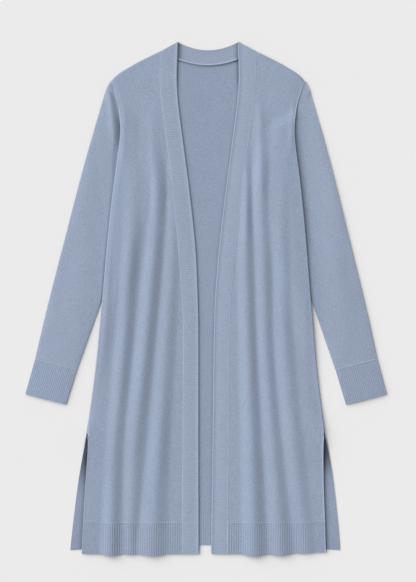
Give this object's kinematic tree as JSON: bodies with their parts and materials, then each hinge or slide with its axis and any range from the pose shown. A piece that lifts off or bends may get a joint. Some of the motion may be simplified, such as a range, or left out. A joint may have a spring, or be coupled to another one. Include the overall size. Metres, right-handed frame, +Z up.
{
  "type": "open-front duster cardigan",
  "caption": "Long open-front knit cardigan laid flat, with a continuous front band, ribbed cuffs and hem, and side slits.",
  "frame": {"origin": "middle of the outline's bounding box, on the surface the garment lies on", "axes": "+Z up from the surface, +Y from the hem to the neck, +X to the right as seen from above"},
  "size_m": [0.7226, 1.0266, 0.015],
  "materials": {
    "body_knit": "matte fine knit",
    "rib_knit": "matte ribbed knit",
    "band_knit": "matte fine cross-ribbed knit"
  },
  "bodies": {
    "root": {"back": "body_knit", "back_hem": "rib_knit", "back_left_corner": "body_knit", "back_right_corner": "body_knit", "front_left": "body_knit", "front_left_hem": "rib_knit", "front_left_corner": "body_knit", "front_right": "body_knit", "front_right_hem": "rib_knit", "front_right_corner": "body_knit", "sleeve_left": "body_knit", "sleeve_right": "body_knit", "cuff_left": "rib_knit", "cuff_right": "rib_knit", "front_band": "band_knit", "back_neck_ridge": "band_knit"}
  },
  "joints": []
}
